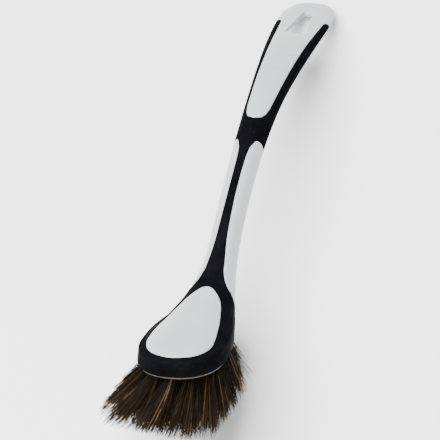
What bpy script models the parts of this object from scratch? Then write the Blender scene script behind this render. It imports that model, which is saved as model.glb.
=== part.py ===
"""Dish brush with a moulded handle, a soft overmoulded grip and tufted bristles.

The brush is modelled level, with the lower edge of its head in the plane z = 0,
the toe of the head at x = 0 and the handle rising towards +X. An empty then lays
the whole brush down as it rests on a table, on its heel bristles and handle end.
"""
import math
import random

import bmesh
import bpy
import numpy as np
from mathutils import Matrix, Vector

# Length and rise of the whole brush
BRUSH_RUN = 0.2865
HANDLE_RISE = 0.0985

# Head
HEAD_LENGTH = 0.0840
HEAD_WIDTH = 0.0500
HEAD_HEIGHT = 0.0150
RIM_HEIGHT = 0.0095
TOE_ROUNDING = 0.0070
RIM_ROUNDING = 0.0024
HEEL_REACH = 0.0022
BASE_INSET = 0.0007
BASE_OVERCUT = 0.0010
BASE_LENGTH = HEAD_LENGTH + HEEL_REACH

# Neck and handle
NECK_WIDTH = 0.0164
GRIP_WIDTH = 0.0315
HANDLE_DEPTH = 0.0170
TIP_LENGTH = 0.0220
TIP_ROUNDING = 0.0020

# Soft overmould
SKIN = 0.0018
SEAM = 0.0003
STRIPE_WIDTH = 0.0046
SIDE_PANEL_LENGTH = 0.0742
SIDE_PANEL_LEAD = 0.0060
BAND_LENGTH = 0.0106
PAD_TO_END = 0.0445
SIDE_BAND_TO_END = 0.0225
BAND_START = HEAD_LENGTH + SIDE_PANEL_LENGTH
PAD_END = BRUSH_RUN - PAD_TO_END
SIDE_BAND_END = BRUSH_RUN - SIDE_BAND_TO_END

# Windows where the hard core shows
HEAD_WINDOW_TOE = 0.0042
HEAD_WINDOW_HEEL = 0.0085
HEAD_WINDOW_SIDE = 0.0060
SIDE_BAND_WIDTH = 0.0033
HEAD_WINDOW_LENGTH = HEAD_LENGTH - HEAD_WINDOW_TOE - HEAD_WINDOW_HEEL
HEAD_WINDOW_WIDTH = HEAD_WIDTH - 2 * HEAD_WINDOW_SIDE
GRIP_WINDOW_WIDTH = GRIP_WIDTH - 2 * SIDE_BAND_WIDTH
WINDOW_DEPTH = 0.0075
OVERRUN = 0.0300

# Hanging hole
HOLE_LENGTH = 0.0268
HOLE_TO_END = 0.0118
HOLE_WIDTH = 0.0126
HOLE_APEX_WIDTH = 0.0054
HOLE_CORNER = 0.0020
HOLE_EDGE_DEPTH = 0.0008
HOLE_START = BRUSH_RUN - HOLE_TO_END - HOLE_LENGTH

# Bristle block
WALL = 0.0015
LIP_DEPTH = 0.0009
BLOCK_HEIGHT = 0.0066
RECESS_GAP = 0.0003

# Tufts
TUFT_RADIUS = 0.0027
TUFT_FIT = 0.0003
TUFT_EDGE = 0.0010
TUFT_ROOT = 0.0036
HOLE_DEPTH = 0.0062
BRISTLE_LENGTH = 0.0350
BRISTLE_TIP = 0.00042
TOE_SPLAY = 0.0280
HEEL_SPLAY = 0.0215
SIDE_SPLAY = 0.0165
SET_ALONG = 0.0030
SET_ACROSS = 0.0100
LENGTH_SCATTER = 0.0022

# Anchors in the tuft holes
ANCHOR_LENGTH = 0.0046
ANCHOR_HEIGHT = 0.0016
ANCHOR_THICKNESS = 0.0005

# Counts
AROUND = 24
TOE_RINGS = 9
HEAD_RINGS = 9
HANDLE_RINGS = 22
TIP_RINGS = 7
UNDER_STEPS = 12
PAD_STEPS = 5
CORNER_STEPS = 3
OUTER_TUFTS = 16
INNER_TUFTS = 10
CELLS = 3
SEED = 7

# Exponents of the rounded outlines and of the bristles' bend
TIP_CURVE = 2.6
TOE_CURVE = 3.5
TOE_OUTLINE_CURVE = 2.25
HEEL_CURVE = 0.6
UNDER_CURVE = 2.4
PAD_CURVE = 0.4
BRISTLE_BEND = 1.25
TUFT_SPREAD = 0.42
# Share of a bristle's length and share of its tip's width at each ring of the bristle
STRAND_SHARES = ((0.45, 1.6), (1.0, 1.0))
SHARP_DEGREES = 35
# Length and width of the inner ring of tufts, in shares of the outer ring's
INNER_RING_SHARES = (0.721, 0.405)

# Places along the head in shares of its length, each with a share of the size named
WIDEST_SHARE = 0.345
HEAD_WIDTH_SHARES = ((0.345, 1.0), (0.46, 0.972), (0.57, 0.895), (0.70, 0.80), (0.80, 0.715),
                     (0.90, 0.61), (1.0, 0.512))
# Handle width between neck and grip width, along the handle behind the head
HANDLE_WIDTH_SHARES = ((0.0, 0.36), (0.07, 0.10), (0.14, 0.01), (0.22, 0.0), (0.30, 0.02),
                       (0.37, 0.06), (0.45, 0.14), (0.535, 0.27), (0.635, 0.49), (0.75, 0.76),
                       (0.86, 0.96), (0.92, 1.0), (1.0, 1.0))
HEAD_LEVEL_SHARES = ((0.0, 0.0), (0.372, 0.0), (0.55, 0.001), (0.66, 0.015), (0.76, 0.038),
                     (0.86, 0.072), (1.0, 0.132))
HANDLE_LEVEL_SHARES = ((0.0, 0.132), (0.07, 0.240), (0.14, 0.370), (0.22, 0.503), (0.305, 0.622),
                       (0.37, 0.702), (0.45, 0.783), (0.535, 0.850), (0.635, 0.906), (0.75, 0.950),
                       (0.86, 0.976), (1.0, 1.0))
HEAD_CROWN_SHARES = ((0.0, 0.72), (0.06, 0.745), (0.15, 0.83), (0.30, 0.92), (0.45, 0.985),
                     (0.58, 1.0), (0.70, 0.97), (0.80, 0.89), (0.90, 0.79), (1.0, 0.70))
HEAD_KEEL_SHARES = ((0.0, 0.2), (0.45, 0.22), (0.60, 0.28), (0.72, 0.37), (0.82, 0.46),
                    (0.92, 0.53), (1.0, 0.58))
HANDLE_DEPTH_SHARES = ((0.0, 1.22), (0.07, 1.06), (0.14, 1.01), (0.22, 0.98), (0.30, 0.95),
                       (0.37, 0.90), (0.45, 0.80), (0.535, 0.70), (0.635, 0.62), (0.75, 0.48),
                       (0.84, 0.31), (0.89, 0.24), (0.94, 0.195), (1.0, 0.185))
HEAD_SQUARE_SHARES = ((0.0, 2.95), (0.40, 2.95), (0.62, 2.8), (0.78, 2.6), (0.90, 2.4), (1.0, 2.2))
HANDLE_SQUARE_SHARES = ((0.0, 2.2), (0.12, 2.0), (0.36, 2.0), (0.55, 2.35), (0.80, 2.7), (1.0, 2.8))

# Half width of the windows and of the stripe, in shares of the width each follows
HEAD_WINDOW_SHARES = ((0.0, 0.0), (0.008, 0.27), (0.045, 0.55), (0.09, 0.73), (0.15, 0.877),
                      (0.21, 0.965), (0.28, 1.0), (0.36, 0.975), (0.48, 0.905), (0.60, 0.818),
                      (0.71, 0.718), (0.80, 0.628), (0.875, 0.525), (0.93, 0.39), (0.97, 0.235),
                      (0.992, 0.11), (1.0, 0.0))
STRIPE_SHARES = ((0.0, 7.0), (0.02, 5.0), (0.055, 3.65), (0.105, 2.65), (0.19, 2.05), (0.29, 1.5),
                 (0.45, 1.16), (0.66, 1.03), (0.84, 1.14), (0.93, 1.8), (0.98, 3.1), (1.0, 5.0))
GRIP_WINDOW_SHARES = ((0.0, 0.0), (0.012, 0.25), (0.035, 0.40), (0.08, 0.505), (0.16, 0.567),
                      (0.30, 0.643), (0.50, 0.74), (0.75, 0.865), (1.0, 1.0))

# Sideways growth of the hanging hole's wall, in shares of the depth
HOLE_FLARE_SHARE = 0.6

WHITE = (0.70, 0.71, 0.72)
BLACK = (0.012, 0.012, 0.014)
DARK_BROWN = (0.030, 0.022, 0.018)
BRISTLE_BROWN = (0.115, 0.070, 0.036)
STEEL = (0.55, 0.55, 0.56)


def clear_scene():
    for item in list(bpy.data.objects):
        bpy.data.objects.remove(item, do_unlink=True)


def new_collection(name):
    collection = bpy.data.collections.new(name)
    bpy.context.scene.collection.children.link(collection)
    return collection


def new_material(name, colour, roughness, metallic=0.0):
    material = bpy.data.materials.new(name)
    material.use_nodes = True
    shader = material.node_tree.nodes["Principled BSDF"]
    shader.inputs["Base Color"].default_value = (*colour, 1.0)
    shader.inputs["Roughness"].default_value = roughness
    shader.inputs["Metallic"].default_value = metallic
    return material


def mesh_object(name, bm, collection, material=None):
    bmesh.ops.recalc_face_normals(bm, faces=bm.faces)
    mesh = bpy.data.meshes.new(name)
    bm.to_mesh(mesh)
    bm.free()
    item = bpy.data.objects.new(name, mesh)
    collection.objects.link(item)
    if material:
        mesh.materials.append(material)
    return item


def hide_cutter(item):
    item.hide_render = True
    item.display_type = "WIRE"
    return item


def boolean(item, operation, other):
    modifier = item.modifiers.new(other.name, "BOOLEAN")
    modifier.operation = operation
    modifier.solver = "EXACT"
    modifier.object = other
    return modifier


def smooth_curve(pairs, place):
    """Value at a place on the smooth curve through (place, value) pairs."""
    places = [pair[0] for pair in pairs]
    values = [pair[1] for pair in pairs]
    place = min(max(place, places[0]), places[-1])
    index = min(max(int(np.searchsorted(places, place)) - 1, 0), len(places) - 2)
    slopes = np.gradient(np.array(values), np.array(places))
    step = places[index + 1] - places[index]
    t = (place - places[index]) / step
    start, end = values[index], values[index + 1]
    rise = (end - start) / step
    slope_start, slope_end = slopes[index], slopes[index + 1]
    # A flat or turning stretch keeps its ends flat, so that the curve never overshoots
    if slope_start * rise <= 0:
        slope_start = 0
    if slope_end * rise <= 0:
        slope_end = 0
    limit = 3 * abs(rise)
    slope_start = max(-limit, min(limit, slope_start))
    slope_end = max(-limit, min(limit, slope_end))
    return (start * (1 + 2 * t) * (1 - t) ** 2 + slope_start * step * t * (1 - t) ** 2
            + end * t * t * (3 - 2 * t) + slope_end * step * t * t * (t - 1))


def along(x, head_pairs, handle_pairs):
    """Share at x from one table over the head and one over the handle behind it."""
    if x <= HEAD_LENGTH:
        return smooth_curve(head_pairs, x / HEAD_LENGTH)
    return smooth_curve(handle_pairs, (x - HEAD_LENGTH) / (BRUSH_RUN - HEAD_LENGTH))


def level(x):
    """Height of the widest level of the body."""
    share = along(x, HEAD_LEVEL_SHARES, HANDLE_LEVEL_SHARES)
    return share * (HANDLE_RISE + BASE_OVERCUT) - BASE_OVERCUT


def slope(x):
    step = HEAD_LENGTH / AROUND
    low, high = max(x - step, 0), min(x + step, BRUSH_RUN)
    return math.atan2(level(high) - level(low), high - low)


def half_width(x, inset):
    widest = WIDEST_SHARE * HEAD_LENGTH
    tip_start = BRUSH_RUN - TIP_LENGTH
    if x < widest:
        reach = min((widest - x) / (widest - inset), 1)
        return (HEAD_WIDTH / 2 - inset) * (1 - reach ** TOE_OUTLINE_CURVE) ** (1 / TOE_OUTLINE_CURVE)
    if x <= HEAD_LENGTH:
        return smooth_curve(HEAD_WIDTH_SHARES, x / HEAD_LENGTH) * HEAD_WIDTH / 2 - inset
    share = along(x, HEAD_WIDTH_SHARES, HANDLE_WIDTH_SHARES)
    behind_head = HEAD_WIDTH_SHARES[-1][1] * HEAD_WIDTH
    first = HANDLE_WIDTH_SHARES[0][1]
    if (x - HEAD_LENGTH) / (BRUSH_RUN - HEAD_LENGTH) < HANDLE_WIDTH_SHARES[3][0]:
        width = NECK_WIDTH + (behind_head - NECK_WIDTH) * share / first
    else:
        width = NECK_WIDTH + (GRIP_WIDTH - NECK_WIDTH) * share
    if x > tip_start:
        reach = min((x - tip_start) / (TIP_LENGTH - inset), 1)
        return (width / 2 - inset) * (1 - reach ** TIP_CURVE) ** (1 / TIP_CURVE)
    return width / 2 - inset


def end_rounding(x, inset):
    """Share of the full height left where the toe and the handle end round over."""
    toe = max(1 - (x - inset) / TOE_ROUNDING, 0)
    tip = max(1 - (BRUSH_RUN - inset - x) / TIP_ROUNDING, 0)
    left = max(1 - toe ** TOE_CURVE, 0) ** (1 / TOE_CURVE)
    return left * math.sqrt(max(1 - tip ** 2, 0))


def handle_depth(x):
    share = smooth_curve(HANDLE_DEPTH_SHARES, (x - HEAD_LENGTH) / (BRUSH_RUN - HEAD_LENGTH))
    return share * HANDLE_DEPTH


def crown(x, inset):
    """Height of the body above its widest level, square to the body's line."""
    if x <= HEAD_LENGTH:
        full = smooth_curve(HEAD_CROWN_SHARES, x / HEAD_LENGTH) * (HEAD_HEIGHT + BASE_OVERCUT)
    else:
        full = handle_depth(x) / 2
    return max(full - inset, SEAM) * end_rounding(x, inset)


def keel(x, inset):
    """Depth of the body below its widest level, square to the body's line."""
    if x <= HEAD_LENGTH:
        full = smooth_curve(HEAD_KEEL_SHARES, x / HEAD_LENGTH) * (HEAD_HEIGHT + BASE_OVERCUT)
    else:
        full = handle_depth(x) / 2
    return max(full - inset, SEAM) * end_rounding(x, inset)


def places_along(inset):
    """Places of the rings, close together where the body turns."""
    widest = WIDEST_SHARE * HEAD_LENGTH
    tip_start = BRUSH_RUN - TIP_LENGTH
    places = []
    for ring in range(1, TOE_RINGS + 1):
        angle = ring / TOE_RINGS * math.pi / 2
        places.append(inset + (widest - inset) * (1 - math.cos(angle)))
    for ring in range(1, HEAD_RINGS + 1):
        places.append(widest + (HEAD_LENGTH - widest) * ring / HEAD_RINGS)
    for ring in range(1, HANDLE_RINGS + 1):
        places.append(HEAD_LENGTH + (tip_start - HEAD_LENGTH) * ring / HANDLE_RINGS)
    for ring in range(1, TIP_RINGS):
        angle = ring / TIP_RINGS * math.pi / 2
        places.append(tip_start + (TIP_LENGTH - inset) * math.sin(angle))
    return places


def body_point(x, inset, angle):
    """Point of the body's section at x, at an angle round it from the +Y side."""
    tilt = slope(x)
    square = along(x, HEAD_SQUARE_SHARES, HANDLE_SQUARE_SHARES)
    cosine, sine = math.cos(angle), math.sin(angle)
    if sine < 0:
        square = min(square, UNDER_CURVE)
    side = half_width(x, inset) * math.copysign(abs(cosine) ** (2 / square), cosine)
    reach = crown(x, inset) if sine >= 0 else keel(x, inset)
    height = reach * math.copysign(abs(sine) ** (2 / square), sine)
    return Vector((x - height * math.sin(tilt), side, level(x) + height * math.cos(tilt)))


def body_mesh(inset):
    """Closed body of the brush, drawn in by an inset from its outer surface."""
    bm = bmesh.new()
    rings = []
    for x in places_along(inset):
        ring = []
        for step in range(AROUND):
            angle = (step + 0.5) / AROUND * 2 * math.pi
            ring.append(bm.verts.new(body_point(x, inset, angle)))
        rings.append(ring)
    for ring, following in zip(rings, rings[1:]):
        for step in range(AROUND):
            after = (step + 1) % AROUND
            bm.faces.new((ring[step], ring[after], following[after], following[step]))
    toe = bm.verts.new((inset, 0, level(inset)))
    tip = bm.verts.new((BRUSH_RUN - inset, 0, level(BRUSH_RUN - inset)))
    for step in range(AROUND):
        after = (step + 1) % AROUND
        bm.faces.new((toe, rings[0][after], rings[0][step]))
        bm.faces.new((tip, rings[-1][step], rings[-1][after]))
    return bm


def crest(x):
    """Height of the body's top line above x."""
    if not CREST:
        for place in places_along(0):
            point = body_point(place, 0, math.pi / 2)
            CREST.append((point.x, point.z))
    return float(np.interp(x, [pair[0] for pair in CREST], [pair[1] for pair in CREST]))


CREST = []


def strip_mesh(sections):
    """Closed strip along X through upright sections (x, y low, y high, z low, z high)."""
    bm = bmesh.new()
    loops = []
    for x, y_low, y_high, z_low, z_high in sections:
        corners = ((y_low, z_low), (y_high, z_low), (y_high, z_high), (y_low, z_high))
        loops.append([bm.verts.new((x, y, z)) for y, z in corners])
    for loop, following in zip(loops, loops[1:]):
        for step in range(4):
            after = (step + 1) % 4
            bm.faces.new((loop[step], loop[after], following[after], following[step]))
    bm.faces.new(loops[0])
    bm.faces.new(loops[-1])
    return bm


def shares_between(pairs, extra):
    """The places of a table, with a number of places added between each two."""
    places = []
    for (start, _), (end, _) in zip(pairs, pairs[1:]):
        for part in range(extra + 1):
            places.append(start + (end - start) * part / (extra + 1))
    return places + [pairs[-1][0]]


def head_window(grow):
    sections = []
    least = SEAM
    for place in shares_between(HEAD_WINDOW_SHARES, 1):
        share = smooth_curve(HEAD_WINDOW_SHARES, place)
        x = HEAD_WINDOW_TOE - grow + (HEAD_WINDOW_LENGTH + 2 * grow) * place
        half = max(HEAD_WINDOW_WIDTH / 2 * share, least) + grow
        low = crest(x) - WINDOW_DEPTH - grow
        sections.append((x, -half, half, low, crest(x) + OVERRUN))
    return strip_mesh(sections)


def neck_side_window(side, grow):
    start = HEAD_LENGTH - SIDE_PANEL_LEAD - grow
    length = BAND_START + grow - start
    sections = []
    for place in shares_between(STRIPE_SHARES, 2):
        x = start + length * place
        inner = STRIPE_WIDTH / 2 * smooth_curve(STRIPE_SHARES, place) - grow
        outer = GRIP_WIDTH + grow
        low, high = sorted((side * inner, side * outer))
        sections.append((x, low, high, RIM_HEIGHT - grow, HANDLE_RISE + OVERRUN))
    return strip_mesh(sections)


def neck_under_window(grow):
    start, end = HEAD_LENGTH - SKIN - grow, BAND_START + grow
    sections = []
    for step in range(UNDER_STEPS + 1):
        x = start + (end - start) * step / UNDER_STEPS
        top = max(level(x), RIM_HEIGHT + SKIN) + grow
        sections.append((x, -NECK_WIDTH, NECK_WIDTH, RIM_HEIGHT - grow, top))
    return strip_mesh(sections)


def grip_window(grow):
    start = BAND_START + BAND_LENGTH - grow
    length = SIDE_BAND_END + SKIN - start
    sections = []
    for place in shares_between(GRIP_WINDOW_SHARES, 2):
        x = start + length * place
        half = max(GRIP_WINDOW_WIDTH / 2 * smooth_curve(GRIP_WINDOW_SHARES, place), SEAM) + grow
        sections.append((x, -half, half, level(x) - grow, crest(x) + OVERRUN))
    return strip_mesh(sections)


def pad_end_window(grow):
    start, end = PAD_END - grow, SIDE_BAND_END + SKIN
    sections = []
    for step in range(PAD_STEPS + 1):
        x = start + (end - start) * step / PAD_STEPS
        share = math.sin((step + 1) / (PAD_STEPS + 1) * math.pi / 2) ** PAD_CURVE
        half = GRIP_WINDOW_WIDTH / 2 * share
        sections.append((x, -half - grow, half + grow, level(x) - OVERRUN, level(x) + grow))
    return strip_mesh(sections)


def tip_window(grow):
    low, high = HANDLE_RISE - OVERRUN, HANDLE_RISE + OVERRUN
    start, end = SIDE_BAND_END - grow, BRUSH_RUN + OVERRUN
    return strip_mesh([(x, -GRIP_WIDTH, GRIP_WIDTH, low, high) for x in (start, end)])


def build_windows(name, grow, cutters):
    """All places where the hard core comes to the surface, as one cutter."""
    whole = hide_cutter(mesh_object(name, head_window(grow), cutters))
    pieces = (("left", neck_side_window(1, grow)), ("right", neck_side_window(-1, grow)),
              ("under", neck_under_window(grow)), ("grip", grip_window(grow)),
              ("pad", pad_end_window(grow)), ("tip", tip_window(grow)))
    for label, bm in pieces:
        piece = hide_cutter(mesh_object(name + "_" + label, bm, cutters))
        boolean(whole, "UNION", piece)
    return whole


def base_outline(inset):
    """Egg outline of the head's lower edge, drawn in by an inset, from heel to heel."""
    widest = WIDEST_SHARE * HEAD_LENGTH
    toe, heel = BASE_INSET + inset, BASE_LENGTH - inset
    steps = AROUND // 2
    left = []
    for step in range(steps + 1):
        reach = math.cos(step / steps * math.pi / 2)
        left.append((widest + (heel - widest) * reach, (1 - reach ** 2) ** HEEL_CURVE))
    for step in range(1, steps + 1):
        angle = step / steps * math.pi / 2
        reach, side = (value ** (2 / TOE_OUTLINE_CURVE) for value in (math.sin(angle), abs(math.cos(angle))))
        left.append((widest - (widest - toe) * reach, side))
    half = HEAD_WIDTH / 2 - BASE_INSET - inset
    left = [(x, share * half) for x, share in left]
    return [(left[0][0], 0)] + left[1:-1] + [(left[-1][0], 0)] + [(x, -y) for x, y in left[-2:0:-1]]


def prism_mesh(outline, low, high):
    """Closed prism over an outline, between two heights."""
    bm = bmesh.new()
    face = bm.faces.new([bm.verts.new((x, y, low)) for x, y in outline])
    grown = bmesh.ops.extrude_face_region(bm, geom=[face])
    moved = [item for item in grown["geom"] if isinstance(item, bmesh.types.BMVert)]
    bmesh.ops.translate(bm, vec=(0, 0, high - low), verts=moved)
    return bm


def add_heel(item, inset, cutters):
    """Joins the upright wall that closes the head's rim under the neck."""
    high = RIM_HEIGHT - inset
    bm = prism_mesh(base_outline(inset), -BASE_OVERCUT, high)
    top = [edge for edge in bm.edges if all(v.co.z > 0 for v in edge.verts)]
    bmesh.ops.bevel(bm, geom=top, offset=RIM_ROUNDING, segments=2, profile=0.5, affect="EDGES")
    heel = hide_cutter(mesh_object(item.name + "_heel", bm, cutters))
    boolean(item, "UNION", heel)


def hole_outline():
    """Rounded triangle of the hanging hole, wide end first."""
    corners = ((HOLE_START, HOLE_WIDTH / 2), (HOLE_START, -HOLE_WIDTH / 2),
               (HOLE_START + HOLE_LENGTH, -HOLE_APEX_WIDTH / 2),
               (HOLE_START + HOLE_LENGTH, HOLE_APEX_WIDTH / 2))
    points = []
    for index, corner in enumerate(corners):
        here = Vector(corner)
        to_last = (Vector(corners[index - 1]) - here).normalized()
        to_next = (Vector(corners[(index + 1) % 4]) - here).normalized()
        inward = (to_last + to_next).normalized()
        half_angle = to_last.angle(to_next) / 2
        centre = here + inward * HOLE_CORNER / math.sin(half_angle)
        start = here + to_last * HOLE_CORNER / math.tan(half_angle) - centre
        end = here + to_next * HOLE_CORNER / math.tan(half_angle) - centre
        turn = start.angle_signed(end)
        for step in range(CORNER_STEPS + 1):
            arm = start.copy()
            arm.rotate(Matrix.Rotation(-turn * step / CORNER_STEPS, 2))
            points.append(centre + arm)
    return points


def hanging_hole(cutters):
    """Straight through the upper edge, then wider and wider sideways to the underside."""
    edge = crest(HOLE_START) - HOLE_EDGE_DEPTH
    bm = prism_mesh(hole_outline(), edge, HANDLE_RISE + OVERRUN)
    under = [face for face in bm.faces if all(v.co.z < HANDLE_RISE for v in face.verts)]
    grown = bmesh.ops.extrude_face_region(bm, geom=under)
    bmesh.ops.delete(bm, geom=under, context="FACES_ONLY")
    for vert in (item for item in grown["geom"] if isinstance(item, bmesh.types.BMVert)):
        vert.co.z -= OVERRUN
        vert.co.y += math.copysign(OVERRUN * HOLE_FLARE_SHARE, vert.co.y)
    return hide_cutter(mesh_object("hanging_hole", bm, cutters))


def below_base(cutters):
    bm = bmesh.new()
    bmesh.ops.create_cube(bm, size=1)
    bmesh.ops.scale(bm, vec=(2 * BRUSH_RUN, 2 * GRIP_WIDTH, OVERRUN), verts=bm.verts)
    bmesh.ops.translate(bm, vec=(0, 0, -OVERRUN / 2), verts=bm.verts)
    return hide_cutter(mesh_object("below_base", bm, cutters))


def build_core(parts, cutters, material):
    """Hard moulding: head shell, neck, grip core and handle end in one piece."""
    core = mesh_object("handle_core", body_mesh(SKIN), parts, material)
    add_heel(core, SKIN, cutters)
    outer = hide_cutter(mesh_object("outer_body", body_mesh(0), cutters))
    windows = build_windows("windows", 0, cutters)
    boolean(outer, "INTERSECT", windows)
    boolean(core, "UNION", outer)
    boolean(core, "DIFFERENCE", below_base(cutters))
    outline = base_outline(SKIN + WALL)
    recess = mesh_object("recess", prism_mesh(outline, -OVERRUN, BLOCK_HEIGHT + RECESS_GAP), cutters)
    boolean(core, "DIFFERENCE", hide_cutter(recess))
    boolean(core, "DIFFERENCE", hanging_hole(cutters))
    return core


def build_grip(parts, cutters, material):
    """Soft overmould: rim and surround, neck stripe, band, grip pad and side bands."""
    grip = mesh_object("soft_grip", body_mesh(0), parts, material)
    add_heel(grip, 0, cutters)
    inside = hide_cutter(mesh_object("grip_inside", body_mesh(SKIN - SEAM), cutters))
    add_heel(inside, SKIN - SEAM, cutters)
    windows = build_windows("grown_windows", SEAM, cutters)
    boolean(grip, "DIFFERENCE", inside)
    boolean(grip, "DIFFERENCE", windows)
    boolean(grip, "DIFFERENCE", cutters.objects["below_base"])
    return grip


def tuft_places():
    """Places of the tufts on the block: a ring along its edge and one inside it."""
    edge = SKIN + WALL + RECESS_GAP + TUFT_EDGE + TUFT_FIT + TUFT_RADIUS
    ring = [Vector(point) for point in base_outline(edge)]
    ring.append(ring[0])
    middle = (min(point.x for point in ring) + max(point.x for point in ring)) / 2
    places = []
    for count, (long_share, wide_share) in ((OUTER_TUFTS, (1, 1)), (INNER_TUFTS, INNER_RING_SHARES)):
        xs = [middle + (point.x - middle) * long_share for point in ring]
        ys = [point.y * wide_share for point in ring]
        lengths = np.append(0, np.cumsum(np.hypot(np.diff(xs), np.diff(ys))))
        for tuft in range(count):
            at = tuft / count * lengths[-1]
            places.append((float(np.interp(at, lengths, xs)), float(np.interp(at, lengths, ys))))
    return places


def cell_corner(column, row, radius):
    """Corner of a square grid bent into a disc of the given radius."""
    u = 2 * column / CELLS - 1
    v = 2 * row / CELLS - 1
    return Vector((u * math.sqrt(1 - v * v / 2), v * math.sqrt(1 - u * u / 2))) * radius


def disc_outline(radius):
    """The corners along the edge of the bent grid, in order round it."""
    edge = [(column, 0) for column in range(CELLS)]
    edge += [(CELLS, row) for row in range(CELLS)]
    edge += [(column, CELLS) for column in range(CELLS, 0, -1)]
    edge += [(0, row) for row in range(CELLS, 0, -1)]
    return [cell_corner(column, row, radius) for column, row in edge]


def splayed(place, offset, share):
    """Where a bristle that leaves the block at place + offset is at a share of its length."""
    x = place[0] + offset.x
    y = place[1] + offset.y
    middle = HEAD_LENGTH / 2
    lean_x = (x - middle) / middle * (TOE_SPLAY if x < middle else HEEL_SPLAY) + SET_ALONG
    lean_y = y / (HEAD_WIDTH / 2) * SIDE_SPLAY + SET_ACROSS
    out = Vector((lean_x, lean_y)) * share ** BRISTLE_BEND + offset * TUFT_SPREAD * share
    drop = math.sqrt(max(BRISTLE_LENGTH ** 2 - lean_x ** 2 - lean_y ** 2, 0)) * share
    return Vector((x + out.x, y + out.y, -drop))


def tuft_mesh(place, rng):
    """A tuft: its root in the hole of the block and the strands that leave it."""
    face_level = -LIP_DEPTH - SEAM
    bm = bmesh.new()
    grid = {}
    for column in range(CELLS + 1):
        for row in range(CELLS + 1):
            corner = cell_corner(column, row, TUFT_RADIUS)
            grid[column, row] = bm.verts.new((place[0] + corner.x, place[1] + corner.y, face_level))
    edge = disc_outline(TUFT_RADIUS)
    top = [bm.verts.new((place[0] + p.x, place[1] + p.y, face_level + TUFT_ROOT)) for p in edge]
    rim = [min(grid.values(), key=lambda v, p=p: (v.co.xy - p - Vector(place)).length) for p in edge]
    bm.faces.new(top)
    for step in range(len(edge)):
        after = (step + 1) % len(edge)
        bm.faces.new((rim[step], rim[after], top[after], top[step]))
    for column in range(CELLS):
        for row in range(CELLS):
            a, b = grid[column, row], grid[column + 1, row]
            c, d = grid[column + 1, row + 1], grid[column, row + 1]
            halves = ((a, b, c), (a, c, d)) if (column + row) % 2 == 0 else ((a, b, d), (b, c, d))
            for corners in halves:
                add_strand(bm, corners, place, face_level, rng)
    return bm


def add_strand(bm, corners, place, face_level, rng):
    """One bristle of three sides, drawn out of a cell of the tuft's end."""
    centre = sum((v.co.xy for v in corners), Vector((0, 0))) / 3
    offset = centre - Vector(place)
    scatter = 1 - LENGTH_SCATTER / BRISTLE_LENGTH * rng.random()
    last = list(corners)
    for share, width_share in STRAND_SHARES:
        where = splayed(place, offset, share * scatter)
        ring = []
        for corner in corners:
            arm = (corner.co.xy - centre).normalized() * BRISTLE_TIP * width_share
            ring.append(bm.verts.new((where.x + arm.x, where.y + arm.y, where.z + face_level)))
        for step in range(3):
            after = (step + 1) % 3
            bm.faces.new((last[step], last[after], ring[after], ring[step]))
        last = ring
    bm.faces.new(last)


def build_tufts(parts, material):
    rng = random.Random(SEED)
    tufts = []
    for index, place in enumerate(tuft_places()):
        name = "bristle_tuft_%02d" % (index + 1)
        tufts.append(mesh_object(name, tuft_mesh(place, rng), parts, material))
    return tufts


def build_block(parts, cutters, material):
    """Plate that carries the tufts, with a lip under the rim of the head."""
    lip_low = -LIP_DEPTH - SEAM
    lip = prism_mesh(base_outline(SEAM), lip_low, -SEAM)
    block = mesh_object("bristle_block", lip, parts, material)
    outline = base_outline(SKIN + WALL + RECESS_GAP)
    plate = mesh_object("block_plate", prism_mesh(outline, lip_low / 2, BLOCK_HEIGHT), cutters)
    boolean(block, "UNION", hide_cutter(plate))
    whole = bmesh.new()
    for place in tuft_places():
        outline = [p + Vector(place) for p in disc_outline(TUFT_RADIUS + TUFT_FIT)]
        hole = prism_mesh(outline, -OVERRUN, lip_low + HOLE_DEPTH)
        mesh = bpy.data.meshes.new("tuft_hole")
        hole.to_mesh(mesh)
        hole.free()
        whole.from_mesh(mesh)
        bpy.data.meshes.remove(mesh)
    holes = hide_cutter(mesh_object("tuft_holes", whole, cutters))
    boolean(block, "DIFFERENCE", holes)
    return block


def build_anchors(parts, material):
    """Flat wire anchors at the bottom of the tuft holes."""
    bottom = -LIP_DEPTH - SEAM + HOLE_DEPTH
    anchors = []
    for index, place in enumerate(tuft_places()):
        bm = bmesh.new()
        bmesh.ops.create_cube(bm, size=1)
        size = (ANCHOR_LENGTH, ANCHOR_THICKNESS, ANCHOR_HEIGHT)
        bmesh.ops.scale(bm, vec=size, verts=bm.verts)
        anchor = mesh_object("tuft_anchor_%02d" % (index + 1), bm, parts, material)
        anchor.location = (place[0], place[1], bottom - SEAM - ANCHOR_HEIGHT / 2)
        anchors.append(anchor)
    return anchors


def world_points(items):
    graph = bpy.context.evaluated_depsgraph_get()
    points = []
    for item in items:
        evaluated = item.evaluated_get(graph)
        mesh = evaluated.to_mesh()
        points += [item.matrix_world @ v.co for v in mesh.vertices]
        evaluated.to_mesh_clear()
    return points


def resting_edge(points):
    """The longest edge of the outline's underside, seen from the side: what it rests on."""
    flat = sorted((point.x, point.z) for point in points)
    hull = []
    for point in flat:
        while len(hull) > 1:
            (ax, az), (bx, bz) = hull[-2], hull[-1]
            if (bx - ax) * (point[1] - az) - (bz - az) * (point[0] - ax) > 0:
                break
            hull.pop()
        hull.append(point)
    return max(zip(hull, hull[1:]), key=lambda edge: edge[1][0] - edge[0][0])


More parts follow.
